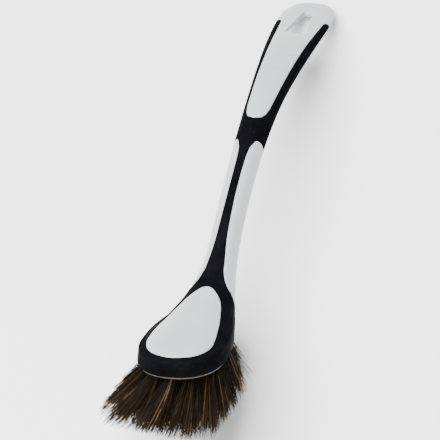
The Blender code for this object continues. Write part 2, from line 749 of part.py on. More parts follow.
def lay_down(items, cutters):
    """Parents the pieces and their cutters to an empty that lays the brush on the table."""
    bpy.context.view_layer.update()
    points = world_points(items)
    (ax, az), (bx, bz) = resting_edge(points)
    pitch = math.atan2(bz - az, bx - ax)
    turn = Matrix.Rotation(pitch, 4, "Y")
    turned = [turn @ point for point in points]
    low = Vector([min(point[axis] for point in turned) for axis in range(3)])
    high = Vector([max(point[axis] for point in turned) for axis in range(3)])
    holder = bpy.data.objects.new("brush", None)
    bpy.context.scene.collection.objects.link(holder)
    holder.rotation_euler = (0, pitch, 0)
    holder.location = (-(low.x + high.x) / 2, -(low.y + high.y) / 2, -low.z)
    for item in items + list(cutters.objects):
        item.parent = holder
    print("pitch %.3f degrees" % math.degrees(pitch))


def main():
    clear_scene()
    parts = new_collection("dish_brush")
    cutters = new_collection("cutters")
    white = new_material("white_plastic", WHITE, 0.38)
    black = new_material("black_soft_plastic", BLACK, 0.45)
    brown = new_material("block_plastic", DARK_BROWN, 0.5)
    bristle = new_material("bristle_fibre", BRISTLE_BROWN, 0.6)
    steel = new_material("anchor_wire", STEEL, 0.35, 1.0)
    core = build_core(parts, cutters, white)
    grip = build_grip(parts, cutters, black)
    block = build_block(parts, cutters, brown)
    tufts = build_tufts(parts, bristle)
    anchors = build_anchors(parts, steel)
    for item in (core, grip):
        item.data.shade_smooth()
        item.data.set_sharp_from_angle(angle=math.radians(SHARP_DEGREES))
    lay_down([core, grip, block] + tufts + anchors, cutters)


main()
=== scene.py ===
"""Dish brush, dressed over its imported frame: moulded handle, soft overmould and bristles."""
import math

import bmesh
import bpy
import numpy as np
from bpy.props import FloatProperty, FloatVectorProperty, IntProperty, PointerProperty
from mathutils import Matrix, Vector


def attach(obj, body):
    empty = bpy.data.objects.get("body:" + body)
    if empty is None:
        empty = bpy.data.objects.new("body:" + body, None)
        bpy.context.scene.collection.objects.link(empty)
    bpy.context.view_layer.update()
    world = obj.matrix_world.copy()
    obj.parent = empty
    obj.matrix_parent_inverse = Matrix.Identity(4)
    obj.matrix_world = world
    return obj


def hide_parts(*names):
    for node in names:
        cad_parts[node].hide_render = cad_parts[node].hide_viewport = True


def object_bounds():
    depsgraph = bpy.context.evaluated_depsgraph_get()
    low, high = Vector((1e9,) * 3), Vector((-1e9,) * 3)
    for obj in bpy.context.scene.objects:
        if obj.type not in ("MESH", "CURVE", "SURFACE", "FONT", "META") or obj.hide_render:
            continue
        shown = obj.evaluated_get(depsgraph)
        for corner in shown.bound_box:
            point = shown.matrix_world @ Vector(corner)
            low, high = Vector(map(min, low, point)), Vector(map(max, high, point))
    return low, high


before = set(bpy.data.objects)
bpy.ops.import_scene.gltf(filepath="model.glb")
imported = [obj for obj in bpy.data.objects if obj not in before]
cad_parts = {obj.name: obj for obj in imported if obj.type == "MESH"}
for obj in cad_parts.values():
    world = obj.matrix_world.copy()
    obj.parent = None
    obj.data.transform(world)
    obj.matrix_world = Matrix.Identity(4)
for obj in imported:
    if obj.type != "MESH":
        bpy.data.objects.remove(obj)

bl_info = {
    "name": "Dish Brush",
    "version": (1, 0, 0),
    "blender": (4, 5, 0),
    "location": "3D View > Sidebar > Dish Brush",
    "description": "Models a dish brush with a white handle, black soft trim and brown bristles",
    "category": "Object",
}

CAD_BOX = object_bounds()

# How the brush lies on the table: its pitch about Y and the place of its toe
REST_PITCH = 34.0308
TOE_PLACE = (-0.132147, -0.008491, 0.079376)

# Right and up of the camera along the level brush, and the toe's place in the photograph
CAMERA_AXES = ((0.2995, -0.9533, -0.0395), (0.4142, 0.0926, 0.9054))
TOE_PIXEL = (168.6, 376.2)
IMAGE_SIZE = 440
SENSOR_WIDTH = 10
FLOOR_SIZE = 40
# Place and width of each light
KEY_LIGHT = (-0.1, 0.55, 1.9), 2.4
FILL_LIGHT = (-1.5, -0.6, 1.1), 1.0

# Shares of the head's or handle's length, each with a share of the size that the table names
WIDEST_SHARE = 0.345
HEAD_WIDTH_SHARES = ((0.345, 1.0), (0.46, 0.972), (0.57, 0.895), (0.70, 0.80), (0.80, 0.715),
                     (0.90, 0.61), (1.0, 0.512))
HANDLE_WIDTH_SHARES = ((0.0, 0.36), (0.07, 0.10), (0.14, 0.01), (0.22, 0.0), (0.30, 0.02),
                       (0.37, 0.06), (0.45, 0.14), (0.535, 0.27), (0.635, 0.49), (0.75, 0.76),
                       (0.86, 0.96), (0.92, 1.0), (1.0, 1.0))
HEAD_LEVEL_SHARES = ((0.0, 0.0), (0.372, 0.0), (0.55, 0.001), (0.66, 0.015), (0.76, 0.038),
                     (0.86, 0.072), (1.0, 0.132))
HANDLE_LEVEL_SHARES = ((0.0, 0.132), (0.07, 0.240), (0.14, 0.370), (0.22, 0.503), (0.305, 0.622),
                       (0.37, 0.702), (0.45, 0.783), (0.535, 0.850), (0.635, 0.906), (0.75, 0.950),
                       (0.86, 0.976), (1.0, 1.0))
HEAD_CROWN_SHARES = ((0.0, 0.72), (0.06, 0.745), (0.15, 0.83), (0.30, 0.92), (0.45, 0.985),
                     (0.58, 1.0), (0.70, 0.97), (0.80, 0.89), (0.90, 0.79), (1.0, 0.70))
HEAD_KEEL_SHARES = ((0.0, 0.2), (0.45, 0.22), (0.60, 0.28), (0.72, 0.37), (0.82, 0.46),
                    (0.92, 0.53), (1.0, 0.58))
HANDLE_DEPTH_SHARES = ((0.0, 1.22), (0.07, 1.06), (0.14, 1.01), (0.22, 0.98), (0.30, 0.95),
                       (0.37, 0.90), (0.45, 0.80), (0.535, 0.70), (0.635, 0.62), (0.75, 0.48),
                       (0.84, 0.31), (0.89, 0.24), (0.94, 0.195), (1.0, 0.185))
HEAD_SQUARE_SHARES = ((0.0, 2.95), (0.40, 2.95), (0.62, 2.8), (0.78, 2.6), (0.90, 2.4), (1.0, 2.2))
HANDLE_SQUARE_SHARES = ((0.0, 2.2), (0.12, 2.0), (0.36, 2.0), (0.55, 2.35), (0.80, 2.7), (1.0, 2.8))
HEAD_WINDOW_SHARES = ((0.28, 1.0), (0.36, 0.975), (0.48, 0.905), (0.60, 0.818), (0.71, 0.718),
                      (0.80, 0.628), (0.875, 0.525), (0.93, 0.39), (0.97, 0.235), (0.992, 0.11),
                      (1.0, 0.0))
STRIPE_SHARES = ((0.0, 7.0), (0.02, 5.0), (0.055, 3.65), (0.105, 2.65), (0.19, 2.05), (0.29, 1.5),
                 (0.45, 1.16), (0.66, 1.03), (0.84, 1.14), (0.93, 1.8), (0.98, 3.1), (1.0, 5.0))
GRIP_WINDOW_SHARES = ((0.0, 0.0), (0.012, 0.25), (0.035, 0.40), (0.08, 0.505), (0.16, 0.567),
                      (0.30, 0.643), (0.50, 0.74), (0.75, 0.865), (1.0, 1.0))
# Exponents of the rounded outlines
TIP_CURVE, TOE_CURVE, TOE_OUTLINE_CURVE = 2.6, 3.0, 2.25
HEEL_CURVE, UNDER_CURVE, PAD_CURVE, BEND_CURVE = 0.6, 2.4, 0.4, 1.25

# Rings of the form along each part of the brush
TOE_RINGS, HEAD_RINGS, HANDLE_RINGS, TIP_RINGS = 18, 30, 70, 14
SLOPE_STEPS = 24
LEAST_REACH, WINDOW_LAP, BLOCK_SEAM = 0.0003, 0.0002, 0.0003
SHARP_EDGE = 34

# Size of the inner ring of tufts, in shares of the outer one's length and width
INNER_RING = (0.721, 0.405)
# How the fibres of a tuft lie, in shares of its radius at the block
ROOT_REACH, CLUMP_MIX = 0.97, 0.35
OWN_SPREAD, CLUMP_SPREAD = 1.9, 0.5
SCATTER, STRAY_SCATTER, BOW_SCATTER = 0.65, 1.3, 0.38
# Other shares of the fibres: strays, the longest, the bow's height and the taper
STRAY_SHARE, LONGEST, BOW, TAPER = 0.07, 1.03, 0.6, 0.55
THINNEST, THICKNESS_RANGE = 0.75, 0.5
# Spread of the fibres' tones, then the least and the range of the clumps' tones
TONE_CURVE, CLUMP_TONE = (0.8, 2.6), (0.5, 0.58)
# Rounds in which fibres outside the box are trimmed and straightened, and by how much
FIT_ROUNDS, FIT_LEVELS, FIT_TRIM, FIT_STRAIGHTEN = 16, (0.7, 0.8, 0.9, 1.0), 0.98, 0.92

# Place of the ramp's middle tone, and its share of the light tone
MIDDLE_TONE, MIDDLE_LIGHT = 0.55, 0.14


def metres(name, text, value):
    """A length that a user would change."""
    return FloatProperty(name=name, description=text, default=value, unit="LENGTH")


def amount(name, text, value):
    return FloatProperty(name=name, description=text, default=value)


def whole(name, text, value):
    return IntProperty(name=name, description=text, default=value)


def tint(name, text, value):
    return FloatVectorProperty(name=name, description=text, default=value, subtype="COLOR")


class DishBrushHead(bpy.types.PropertyGroup):
    """Sizes of the head and of the block in it."""
    length: metres("Length", "Length of the head", 0.084)
    width: metres("Width", "Width of the head", 0.0497)
    height: metres("Height", "Height of the head", 0.015)
    rim: metres("Rim", "Height of the rim at the heel", 0.0095)
    toe_rounding: metres("Toe rounding", "Length over which the toe rounds over", 0.007)
    heel_reach: metres("Heel reach", "How far the base runs behind the head", 0.0022)
    base_inset: metres("Base inset", "How far the base lies inside the head", 0.0007)
    overcut: metres("Overcut", "Depth of the level plane below the base", 0.001)
    window_toe: metres("Window to toe", "Soft rim in front of the window", 0.0042)
    window_heel: metres("Window to heel", "Soft rim behind the window", 0.0085)
    window_side: metres("Window to side", "Soft rim beside the window", 0.0060)
    lip: metres("Lip", "Depth of the block's lip under the rim", 0.0009)
    block: metres("Block", "Height of the bristle block", 0.0066)
    wall: metres("Wall", "Wall of the head round the block", 0.0015)


class DishBrushHandle(bpy.types.PropertyGroup):
    """Sizes of the neck, the grip and the hanging hole."""
    run: metres("Run", "Length of the brush along its base", 0.2865)
    rise: metres("Rise", "Rise of the handle over the base", 0.0985)
    neck: metres("Neck width", "Width of the neck", 0.0164)
    grip: metres("Grip width", "Width of the grip", 0.0315)
    depth: metres("Depth", "Depth of the neck", 0.017)
    tip: metres("Tip", "Length of the rounded end", 0.022)
    tip_rounding: metres("Tip rounding", "Rounding of the end's edge", 0.002)
    hole_length: metres("Hole length", "Length of the hanging hole", 0.0268)
    hole_to_end: metres("Hole to end", "From the hole to the handle's end", 0.0118)
    hole_width: metres("Hole width", "Width of the hole's wide end", 0.0126)
    hole_apex: metres("Hole apex", "Width of the hole's narrow end", 0.0054)
    hole_corner: metres("Hole corner", "Corner radius of the hole", 0.0020)
    hole_edge: metres("Hole edge", "Depth of the hole's straight upper edge", 0.0008)
    hole_flare: amount("Hole flare", "Sideways growth of the hole by its depth", 0.6)


class DishBrushTrim(bpy.types.PropertyGroup):
    """Sizes of the soft overmould."""
    skin: metres("Skin", "Thickness of the soft overmould", 0.0018)
    seam: metres("Seam", "Groove between the hard and the soft plastic", 0.00014)
    edge: metres("Edge", "Rounding of the moulded edges", 0.00024)
    stripe: metres("Stripe", "Width of the neck stripe", 0.0046)
    panel: metres("Panel", "Length of the neck's white panels", 0.0742)
    panel_lead: metres("Panel lead", "How far a panel runs onto the head", 0.006)
    band: metres("Band", "Length of the band round the neck's end", 0.0106)
    side_band: metres("Side band", "Width of the grip's side bands", 0.0033)
    pad_to_end: metres("Pad to end", "From the grip's pad to the handle's end", 0.0445)
    side_to_end: metres("Side band to end", "From a side band to the end", 0.0225)


class DishBrushBristles(bpy.types.PropertyGroup):
    """Sizes and counts of the bristles."""
    outer: whole("Outer tufts", "Tufts in the outer ring", 16)
    inner: whole("Inner tufts", "Tufts in the inner ring", 10)
    fibres: whole("Fibres", "Fibres in each tuft", 420)
    clumps: whole("Clumps", "Clumps that each tuft parts into", 13)
    radius: metres("Tuft radius", "Radius of a tuft at the block", 0.0027)
    fit: metres("Hole fit", "Play of a tuft in its hole", 0.0003)
    edge: metres("Edge", "From a tuft hole to the block's side", 0.001)
    root: metres("Root", "Depth of a fibre in its hole", 0.003)
    hole: metres("Hole depth", "Depth of a tuft hole", 0.0062)
    thickness: metres("Fibre radius", "Radius of a fibre", 0.00017)
    length: metres("Length", "Free length of the bristles", 0.035)
    scatter: metres("Scatter", "How much the fibres differ in length", 0.0060)
    toe_splay: metres("Toe splay", "Spread of the toe's tips", 0.028)
    heel_splay: metres("Heel splay", "Spread of the heel's tips", 0.0215)
    side_splay: metres("Side splay", "Spread of the sides' tips", 0.0165)
    set_along: metres("Set along", "How far all tips are set to the heel", 0.003)
    set_across: metres("Set across", "How far all tips are set sideways", 0.010)
    seed: whole("Seed", "Seed of the fibres' scatter", 7)


class DishBrushColours(bpy.types.PropertyGroup):
    """Colours of the plastics and the fibres."""
    white: tint("White plastic", "Colour of the handle", (0.43, 0.44, 0.455))
    black: tint("Black trim", "Colour of the overmould", (0.003, 0.003, 0.0036))
    block: tint("Block", "Colour of the bristle block", (0.060, 0.045, 0.034))
    fibre_dark: tint("Dark fibre", "Darkest bristles", (0.0008, 0.0005, 0.0003))
    fibre_light: tint("Light fibre", "Lightest bristles", (0.30, 0.20, 0.11))
    steel: tint("Anchor wire", "Colour of the anchors", (0.55, 0.55, 0.56))
    floor: tint("Floor", "Colour of the floor", (0.93, 0.93, 0.93))


class DishBrushStage(bpy.types.PropertyGroup):
    """Camera and light."""
    frame_width: metres("Frame width", "Width of the view at the brush", 0.24444)
    distance: metres("Distance", "From the camera to the brush", 10.0)
    key: amount("Key light", "Power of the large light overhead", 200.0)
    fill: amount("Fill light", "Power of the light beyond the toe", 34.0)
    sky: amount("Sky", "Strength of the light from all round", 0.16)


class DishBrushSettings(bpy.types.PropertyGroup):
    """All settings of the dish brush."""
    head: PointerProperty(type=DishBrushHead)
    handle: PointerProperty(type=DishBrushHandle)
    trim: PointerProperty(type=DishBrushTrim)
    bristles: PointerProperty(type=DishBrushBristles)
    colours: PointerProperty(type=DishBrushColours)
    stage: PointerProperty(type=DishBrushStage)


def settings():
    return bpy.context.scene.dish_brush


def smooth_curve(pairs, place):
    """Value at a place on the smooth curve through (place, value) pairs."""
    places = [pair[0] for pair in pairs]
    values = [pair[1] for pair in pairs]
    place = min(max(place, places[0]), places[-1])
    index = min(max(int(np.searchsorted(places, place)) - 1, 0), len(places) - 2)
    slopes = np.gradient(np.array(values), np.array(places))
    step = places[index + 1] - places[index]
    t = (place - places[index]) / step
    start, end = values[index], values[index + 1]
    rise = (end - start) / step
    limit = 3 * abs(rise)
    ends = []
    for slope in (slopes[index], slopes[index + 1]):
        ends.append(0 if slope * rise <= 0 else max(-limit, min(limit, slope)))
    return (start * (1 + 2 * t) * (1 - t) ** 2 + ends[0] * step * t * (1 - t) ** 2
            + end * t * t * (3 - 2 * t) + ends[1] * step * t * t * (t - 1))


class BrushForm:
    """Outer form of the brush, level: X from the toe to the handle's end, Z up from the base."""

    def __init__(self):
        own = settings()
        self.head, self.handle, self.trim = own.head, own.handle, own.trim
        self.length, self.run = own.head.length, own.handle.run
        self.widest = WIDEST_SHARE * self.length
        self.band_start = self.length + own.trim.panel
        self.pad_end = self.run - own.trim.pad_to_end
        self.side_band_end = self.run - own.trim.side_to_end

    def along(self, x, head_pairs, handle_pairs):
        if x <= self.length:
            return smooth_curve(head_pairs, x / self.length)
        return smooth_curve(handle_pairs, (x - self.length) / (self.run - self.length))

    def level(self, x):
        """Height of the widest level."""
        share = self.along(x, HEAD_LEVEL_SHARES, HANDLE_LEVEL_SHARES)
        return share * (self.handle.rise + self.head.overcut) - self.head.overcut

    def slope(self, x):
        step = self.length / SLOPE_STEPS
        low, high = max(x - step, 0), min(x + step, self.run)
        return math.atan2(self.level(high) - self.level(low), high - low)

    def half_width(self, x, inset):
        half = self.head.width / 2
        if x < self.widest:
            reach = min((self.widest - x) / (self.widest - inset), 1)
            return (half - inset) * (1 - reach ** TOE_OUTLINE_CURVE) ** (1 / TOE_OUTLINE_CURVE)
        if x <= self.length:
            return smooth_curve(HEAD_WIDTH_SHARES, x / self.length) * half - inset
        place = (x - self.length) / (self.run - self.length)
        share = smooth_curve(HANDLE_WIDTH_SHARES, place)
        neck = self.handle.neck
        if place < HANDLE_WIDTH_SHARES[3][0]:
            behind = HEAD_WIDTH_SHARES[-1][1] * self.head.width
            width = neck + (behind - neck) * share / HANDLE_WIDTH_SHARES[0][1]
        else:
            width = neck + (self.handle.grip - neck) * share
        tip_start = self.run - self.handle.tip
        if x > tip_start:
            reach = min((x - tip_start) / (self.handle.tip - inset), 1)
            return (width / 2 - inset) * (1 - reach ** TIP_CURVE) ** (1 / TIP_CURVE)
        return width / 2 - inset

    def end_rounding(self, x, inset):
        toe = max(1 - (x - inset) / self.head.toe_rounding, 0)
        tip = max(1 - (self.run - inset - x) / self.handle.tip_rounding, 0)
        left = max(1 - toe ** TOE_CURVE, 0) ** (1 / TOE_CURVE)
        return left * math.sqrt(max(1 - tip ** 2, 0))

    def reach(self, x, inset, head_pairs):
        """Height of the form above or below its widest level."""
        if x <= self.length:
            full = smooth_curve(head_pairs, x / self.length) * (self.head.height + self.head.overcut)
        else:
            share = smooth_curve(HANDLE_DEPTH_SHARES, (x - self.length) / (self.run - self.length))
            full = share * self.handle.depth / 2
        return max(full - inset, LEAST_REACH) * self.end_rounding(x, inset)

    def point(self, x, inset, angle):
        tilt = self.slope(x)
        square = self.along(x, HEAD_SQUARE_SHARES, HANDLE_SQUARE_SHARES)
        cosine, sine = math.cos(angle), math.sin(angle)
        if sine < 0:
            square = min(square, UNDER_CURVE)
        side = self.half_width(x, inset) * math.copysign(abs(cosine) ** (2 / square), cosine)
        pairs = HEAD_CROWN_SHARES if sine >= 0 else HEAD_KEEL_SHARES
        height = self.reach(x, inset, pairs) * math.copysign(abs(sine) ** (2 / square), sine)
        return Vector((x - height * math.sin(tilt), side, self.level(x) + height * math.cos(tilt)))

    def places(self, inset):
        """Places of the rings, close together where the form turns."""
        tip_start = self.run - self.handle.tip
        places = []
        for ring in range(2, TOE_RINGS + 1):
            angle = ring / TOE_RINGS * math.pi / 2
            places.append(inset + (self.widest - inset) * (1 - math.cos(angle)))
        for ring in range(1, HEAD_RINGS + 1):
            places.append(self.widest + (self.length - self.widest) * ring / HEAD_RINGS)
        for ring in range(1, HANDLE_RINGS + 1):
            places.append(self.length + (tip_start - self.length) * ring / HANDLE_RINGS)
        for ring in range(1, TIP_RINGS - 1):
            angle = ring / TIP_RINGS * math.pi / 2
            places.append(tip_start + (self.handle.tip - inset) * math.sin(angle))
        return places

    def crest(self, x):
        tilt = self.slope(x)
        return self.level(x) + self.reach(x, 0, HEAD_CROWN_SHARES) * math.cos(tilt)

    def base_outline(self, inset, steps=30):
        """Egg outline of the head's lower edge, drawn in by an inset."""
        toe, heel = self.head.base_inset + inset, self.length + self.head.heel_reach - inset
        half = self.head.width / 2 - self.head.base_inset - inset
        left = []
        for step in range(steps + 1):
            reach = math.cos(step / steps * math.pi / 2)
            side = (1 - reach ** 2) ** HEEL_CURVE
            left.append((self.widest + (heel - self.widest) * reach, side * half))
        for step in range(1, steps + 1):
            angle = step / steps * math.pi / 2
            reach = math.sin(angle) ** (2 / TOE_OUTLINE_CURVE)
            side = abs(math.cos(angle)) ** (2 / TOE_OUTLINE_CURVE)
            left.append((self.widest - (self.widest - toe) * reach, side * half))
        left[0], left[-1] = (left[0][0], 0), (left[-1][0], 0)
        return mirrored(left)


def deselect():
    if bpy.context.object and bpy.context.object.mode != "OBJECT":
        bpy.ops.object.mode_set(mode="OBJECT")
    bpy.ops.object.select_all(action="DESELECT")


def pick(piece):
    deselect()
    piece.select_set(True)
    bpy.context.view_layer.objects.active = piece


def select_edges(piece, wanted):
    """Selects just the edges that a test wants, in edit mode."""
    for edge in bmesh.from_edit_mesh(piece.data).edges:
        edge.select_set(wanted(edge))
    bmesh.update_edit_mesh(piece.data)


def leave_outwards():
    """Turns all faces outwards and leaves edit mode."""
    bpy.ops.mesh.select_all(action="SELECT")
    bpy.ops.mesh.normals_make_consistent(inside=False)
    bpy.ops.object.mode_set(mode="OBJECT")


def finish_modifier(piece, modifier):
    pick(piece)
    bpy.ops.object.modifier_apply(modifier=modifier.name)


def combine(piece, operation, tool):
    modifier = piece.modifiers.new(operation.title(), "BOOLEAN")
    modifier.operation = operation
    modifier.solver = "EXACT"
    modifier.object = tool
    finish_modifier(piece, modifier)
    bpy.data.objects.remove(tool, do_unlink=True)


def grow_body(name, form, inset, around=84):
    """Grows the brush's form ring by ring from its toe."""
    deselect()
    bpy.ops.mesh.primitive_circle_add(vertices=around, radius=form.head.base_inset)
    piece = bpy.context.object
    piece.name = name
    bpy.ops.object.mode_set(mode="EDIT")
    mesh = bmesh.from_edit_mesh(piece.data)
    steps = mesh.verts.layers.int.new("step")
    for vert in mesh.verts:
        vert[steps] = vert.index
    places = form.places(inset)
    for number, x in enumerate(places):
        if number:
            bpy.ops.mesh.extrude_edges_move()
        steps = bmesh.from_edit_mesh(piece.data).verts.layers.int["step"]
        for vert in selected(piece):
            vert.co = form.point(x, inset, (vert[steps] + 0.5) / around * 2 * math.pi)
        bmesh.update_edit_mesh(piece.data)
    close_end(piece, (form.run - inset, 0, form.level(form.run - inset)))
    select_edges(piece, lambda edge: edge.is_boundary)
    close_end(piece, (inset, 0, form.level(inset)))
    leave_outwards()
    return piece


def selected(piece):
    return [vert for vert in bmesh.from_edit_mesh(piece.data).verts if vert.select]


def close_end(piece, place):
    """Draws the selected open ring to one point."""
    bpy.ops.mesh.extrude_edges_move()
    bpy.ops.mesh.merge(type="CENTER")
    for vert in selected(piece):
        vert.co = place
    bmesh.update_edit_mesh(piece.data)


def add_prism(name, outline, low, high):
    """Block over an outline. Its lower and upper heights may follow X."""
    deselect()
    bpy.ops.mesh.primitive_circle_add(vertices=len(outline), radius=1, fill_type="NGON")
    piece = bpy.context.object
    piece.name = name
    bpy.ops.object.mode_set(mode="EDIT")
    mesh = bmesh.from_edit_mesh(piece.data)
    mesh.verts.ensure_lookup_table()
    for vert, (x, y) in zip(mesh.verts, outline):
        vert.co = (x, y, low(x) if callable(low) else low)
    bmesh.update_edit_mesh(piece.data)
    bpy.ops.mesh.extrude_region_move()
    for vert in selected(piece):
        vert.co.z = high(vert.co.x) if callable(high) else high
    bmesh.update_edit_mesh(piece.data)
    leave_outwards()
    return piece


def mirrored(left):
    """Closed outline from its left half, whose ends may lie on the middle line."""
    return left + [(x, -y) for x, y in reversed(left) if y]


def window_outline(pairs, start, length, half, grow, steps=60):
    """Left half of a window's outline, toe end first: a quarter ellipse up to its first pair."""
    left = []
    for step in range(steps + 1):
        place = (1 - math.cos(step / steps * math.pi)) / 2
        share = smooth_curve(pairs, place)
        if place < pairs[0][0]:
            share *= math.sqrt(1 - (1 - place / pairs[0][0]) ** 2)
        left.append((start - grow + (length + 2 * grow) * place, half * share + grow))
    left[0] = (left[0][0], 0)
    return left


def head_window(form, grow):
    head = form.head
    length = form.length - head.window_toe - head.window_heel
    half = head.width / 2 - head.window_side
    left = window_outline(HEAD_WINDOW_SHARES, head.window_toe, length, half, grow)
    left[-1] = (left[-1][0], 0)
    return add_prism("head_window", mirrored(left), lambda x: form.crest(x) - head.height / 2 - grow,
                     form.handle.rise)


def side_window(form, side, grow, steps=90):
    """One of the neck's white panels."""
    start = form.length - form.trim.panel_lead - grow
    end = form.band_start + grow
    inner = []
    for step in range(steps + 1):
        place = step / steps
        half = form.trim.stripe / 2 * smooth_curve(STRIPE_SHARES, place) - grow
        inner.append((start + (end - start) * place, side * half))
    outer = side * (form.handle.grip + grow)
    outline = inner + [(end, outer), (start, outer)]
    return add_prism("neck_panel", outline, form.head.rim - grow, 2 * form.handle.rise)


def under_window(form, grow, steps=24):
    """The white under side of the neck."""
    start, end = form.length - form.trim.skin - grow, form.band_start + grow
    side = form.handle.neck
    left = [(start + (end - start) * step / steps, side) for step in range(steps + 1)]
    top = form.head.rim + form.trim.skin
    return add_prism("neck_under_side", mirrored(left), form.head.rim - grow,
                     lambda x: max(form.level(x), top) + grow)


def grip_window(form, grow):
    start = form.band_start + form.trim.band
    length = form.side_band_end + form.trim.skin - start
    half = form.handle.grip / 2 - form.trim.side_band
    left = window_outline(GRIP_WINDOW_SHARES, start, length, half, grow)
    return add_prism("grip_window", mirrored(left), lambda x: form.level(x) - grow,
                     2 * form.handle.rise)


def pad_end_window(form, grow, steps=24):
    """The under side behind the pad. It laps into the grip window above it."""
    start, end = form.pad_end - grow, form.side_band_end + form.trim.skin / 2
    half = form.handle.grip / 2 - form.trim.side_band
    left = [(start, 0)]
    for step in range(1, steps + 1):
        angle = step / steps * math.pi / 2
        side = half * math.sin(angle) ** PAD_CURVE + grow
        left.append((start + (end - start) * (1 - math.cos(angle)), side))
    return add_prism("pad_end", mirrored(left), 0, lambda x: form.level(x) + grow + WINDOW_LAP)


def end_window(form, grow, steps=12):
    """All of the handle's end, with the round ends of the side bands left out."""
    band = form.trim.side_band / 2
    outer = form.handle.grip
    middle = form.handle.grip / 2 - band
    left = [(form.side_band_end - band - grow, 0)]
    for step in range(steps + 1):
        angle = math.pi * step / steps
        reach = (band - grow) * math.sin(angle) - grow
        side = middle - band * math.cos(angle) * (1 - grow / band)
        left.append((form.side_band_end - band + reach, side))
    left += [(form.side_band_end - band - grow, outer), (form.run + outer, outer)]
    return add_prism("handle_end", mirrored(left), 0, 2 * form.handle.rise)


def all_windows(form, grow):
    """Everywhere that the hard plastic comes to the surface, as one tool."""
    windows = head_window(form, grow)
    for piece in (side_window(form, 1, grow), side_window(form, -1, grow), under_window(form, grow),
                  grip_window(form, grow), pad_end_window(form, grow), end_window(form, grow)):
        combine(windows, "UNION", piece)
    return windows


def add_heel(piece, form, inset):
    """Joins the upright wall that closes the rim under the neck."""
    high = form.head.rim - inset
    heel = add_prism("heel", form.base_outline(inset), -form.head.overcut, high)
    pick(heel)
    bpy.ops.object.mode_set(mode="EDIT")
    bpy.ops.mesh.select_mode(type="EDGE")
    bpy.ops.mesh.select_all(action="DESELECT")
    select_edges(heel, lambda edge: all(vert.co.z > 0 for vert in edge.verts))
    bpy.ops.mesh.bevel(offset=form.head.rim / 4, segments=4, affect="EDGES")
    bpy.ops.mesh.select_mode(type="VERT")
    bpy.ops.object.mode_set(mode="OBJECT")
    combine(piece, "UNION", heel)


def below_base(form):
    low, side = -form.handle.rise, form.handle.grip * 2
    outline = [(-side, -side), (2 * form.run, -side), (2 * form.run, side), (-side, side)]
    return add_prism("below_base", outline, low, 0)


def hole_outline(form, steps=8):
    """Rounded triangle of the hanging hole."""
    handle = form.handle
    end = form.run - handle.hole_to_end
    start = end - handle.hole_length
    corners = ((start, handle.hole_width / 2), (start, -handle.hole_width / 2),
               (end, -handle.hole_apex / 2), (end, handle.hole_apex / 2))
    points = []
    for index, corner in enumerate(corners):
        here = Vector(corner)
        to_last = (Vector(corners[index - 1]) - here).normalized()
        to_next = (Vector(corners[(index + 1) % 4]) - here).normalized()
        half_angle = to_last.angle(to_next) / 2
        centre = here + (to_last + to_next).normalized() * handle.hole_corner / math.sin(half_angle)
        first = here + to_last * handle.hole_corner / math.tan(half_angle) - centre
        last = here + to_next * handle.hole_corner / math.tan(half_angle) - centre
        turn = first.angle_signed(last)
        for step in range(steps + 1):
            arm = first.copy()
            arm.rotate(Matrix.Rotation(-turn * step / steps, 2))
            points.append(tuple(centre + arm))
    return points


def add_hole(form):
    """Tool for the hanging hole: straight at the upper edge, then wider to the underside."""
    handle = form.handle
    outline = hole_outline(form)
    edge = form.crest(min(x for x, _ in outline)) - handle.hole_edge
    tool = add_prism("hanging_hole_tool", outline, edge, 2 * handle.rise)
    bpy.ops.object.mode_set(mode="EDIT")
    bpy.ops.mesh.select_mode(type="FACE")
    bpy.ops.mesh.select_all(action="DESELECT")
    mesh = bmesh.from_edit_mesh(tool.data)
    for face in mesh.faces:
        face.select_set(face.normal.z < -0.9)
    bmesh.update_edit_mesh(tool.data)
    bpy.ops.mesh.extrude_region_move()
    depth = handle.rise / 3
    for vert in selected(tool):
        vert.co.z -= depth
        vert.co.y += math.copysign(depth * handle.hole_flare, vert.co.y)
    bmesh.update_edit_mesh(tool.data)
    bpy.ops.mesh.select_mode(type="VERT")
    leave_outwards()
    return tool


def round_edges(piece, width):
    """Merges the slivers that the cuts left, then rounds every sharp edge of the moulding."""
    pick(piece)
    bpy.ops.object.mode_set(mode="EDIT")
    bpy.ops.mesh.select_all(action="SELECT")
    bpy.ops.mesh.remove_doubles(threshold=width / 3)
    leave_outwards()
    bevel = piece.modifiers.new("Edges", "BEVEL")
    bevel.limit_method = "ANGLE"
    bevel.angle_limit = math.radians(SHARP_EDGE)
    bevel.width = width
    bevel.segments = 2
    bevel.use_clamp_overlap = False
    finish_modifier(piece, bevel)
    bpy.ops.object.mode_set(mode="EDIT")
    bpy.ops.mesh.select_all(action="SELECT")
    bpy.ops.mesh.delete_loose()
    bpy.ops.object.mode_set(mode="OBJECT")
    bpy.ops.object.shade_smooth_by_angle(angle=math.radians(SHARP_EDGE))


def lay_down(piece):
    """Turns a finished piece to how the brush lies on the table, with its place in its mesh."""
    pick(piece)
    turn = Matrix.Rotation(math.radians(REST_PITCH), 4, "Y")
    piece.matrix_world = Matrix.Translation(TOE_PLACE) @ turn
    bpy.ops.object.transform_apply(location=True, rotation=True, scale=True)


def hand_over(piece, material, node):
    piece.data.materials.clear()
    piece.data.materials.append(material)
    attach(piece, "root")
    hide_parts(node)


def tinted(colour, factor):
    return tuple(channel * factor for channel in colour)


